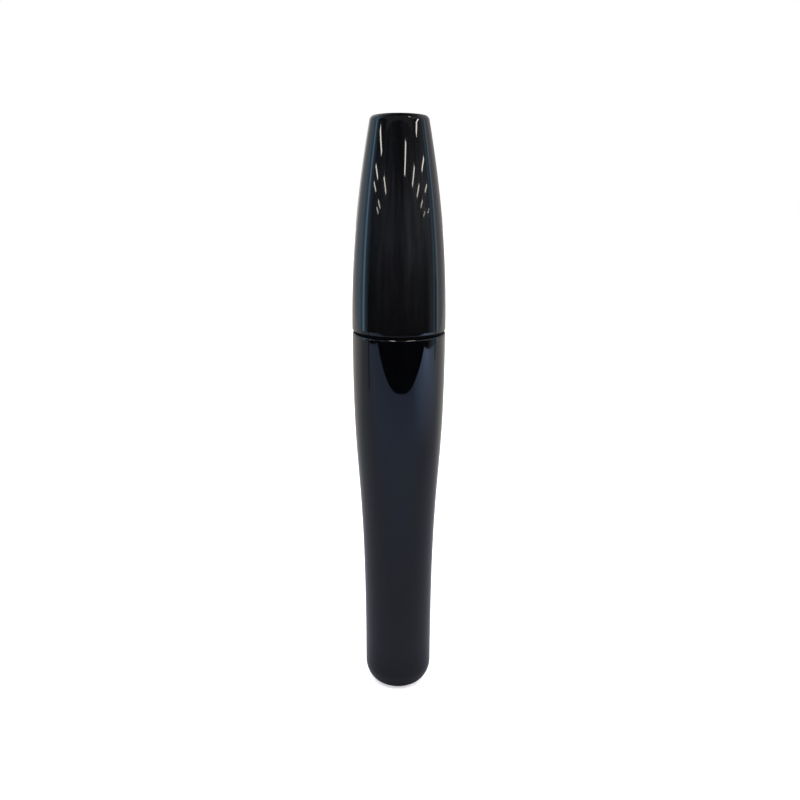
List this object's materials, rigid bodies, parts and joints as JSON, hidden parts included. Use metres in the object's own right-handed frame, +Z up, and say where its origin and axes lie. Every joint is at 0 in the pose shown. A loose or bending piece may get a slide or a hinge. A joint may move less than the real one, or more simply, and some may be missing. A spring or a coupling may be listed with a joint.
{
  "type": "mascara tube",
  "caption": "Slim mascara in glossy black plastic: S-shaped tube with a rounded foot, and a tapered screw cap that carries the wand and brush.",
  "frame": {"origin": "centre of the flat foot, on the surface that the mascara stands on", "axes": "+Z up along the axis of the tube and cap; X and Y are alike, since the shape is turned about Z"},
  "size_m": [0.02, 0.02, 0.128],
  "materials": {
    "tube_gloss": "high gloss, navy black",
    "label_paper": "matte film sticker, blank",
    "vial_plastic": "natural translucent polypropylene",
    "mascara_black": "wet black paste",
    "wiper_rubber": "soft, matte",
    "collar_satin": "satin black",
    "cap_gloss": "high gloss, black",
    "liner_plastic": "moulded, satin black",
    "weight_steel": "plated steel",
    "seal_foam": "matte foam",
    "rod_plastic": "moulded, satin black",
    "wire_steel": "bright drawn wire",
    "bristle_nylon": "fine black fibres"
  },
  "bodies": {
    "tube": {"outer_tube": "tube_gloss", "base_label": "label_paper", "inner_vial": "vial_plastic", "mascara_paste": "mascara_black", "wiper": "wiper_rubber", "neck_collar": "collar_satin"},
    "seal": {"cap_seal": "seal_foam"},
    "weight": {"cap_weight": "weight_steel"},
    "cap": {"cap_shell": "cap_gloss", "cap_liner": "liner_plastic", "wand_rod": "rod_plastic", "brush_core": "wire_steel", "brush_bristles": "bristle_nylon"}
  },
  "joints": [
    {"name": "wand_withdraw", "type": "slide", "parent": "tube", "child": "seal", "axis": [0, 0, 1], "range_m": [0, 0.1], "deforming": ["brush_bristles"]},
    {"name": "cap_rise", "type": "slide", "parent": "seal", "child": "weight", "axis": [0, 0, 1], "range_m": [0, 0.006]},
    {"name": "cap_turn", "type": "hinge", "parent": "weight", "child": "cap", "pos_m": [0, 0, 0.0841], "axis": [0, 0, 1], "range_deg": [0, 720]}
  ],
  "couplings": [
    {"joint": "cap_rise", "follows": "cap_turn", "m_per_rad": 0.00047746}
  ]
}
